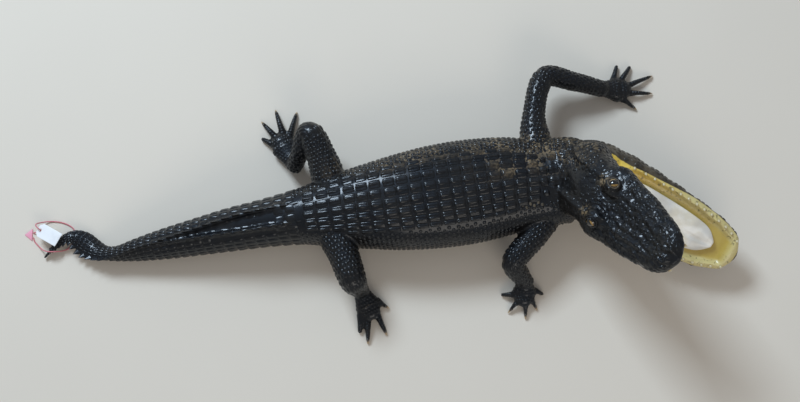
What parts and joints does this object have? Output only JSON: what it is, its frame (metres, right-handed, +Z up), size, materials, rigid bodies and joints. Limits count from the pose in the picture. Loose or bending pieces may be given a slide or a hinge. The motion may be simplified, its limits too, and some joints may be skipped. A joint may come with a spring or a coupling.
{
  "type": "alligator taxidermy mount",
  "caption": "Small full-body alligator mount lying on its belly, head raised and turned with the mouth open, tail tip curled, with a strung paper tag.",
  "frame": {"origin": "middle of the animal's bounding box, at the floor that it lies on, measured without the tag and its string", "axes": "+X along the body towards the head, +Y towards the animal's left side, +Z up"},
  "size_m": [0.8948, 0.3611, 0.2157],
  "materials": {
    "hide": "lacquered dark hide with brown and tan speckles",
    "mouth": "gloss",
    "eye": "polished",
    "claw": "horn, satin",
    "card": "matt",
    "string": "twisted cotton",
    "tab": "matt"
  },
  "bodies": {
    "root": {"head": "hide", "lower_jaw": "hide", "neck": "hide", "trunk_front": "hide", "trunk_rear": "hide", "tail_base": "hide", "tail_middle": "hide", "tail_rear": "hide", "tail_tip": "hide", "upper_arm_left": "hide", "forearm_left": "hide", "hand_left": "hide", "upper_arm_right": "hide", "forearm_right": "hide", "hand_right": "hide", "thigh_left": "hide", "shank_left": "hide", "foot_left": "hide", "thigh_right": "hide", "shank_right": "hide", "foot_right": "hide", "tongue": "mouth", "eye_left": "eye", "eye_right": "eye", "claw_hand_left_1": "claw", "claw_hand_left_2": "claw", "claw_hand_left_3": "claw", "claw_hand_right_1": "claw", "claw_hand_right_2": "claw", "claw_hand_right_3": "claw", "claw_foot_left_1": "claw", "claw_foot_left_2": "claw", "claw_foot_left_3": "claw", "claw_foot_right_1": "claw", "claw_foot_right_2": "claw", "claw_foot_right_3": "claw", "tag_card": "card", "tag_string": "string", "tag_tab": "tab"}
  },
  "joints": []
}
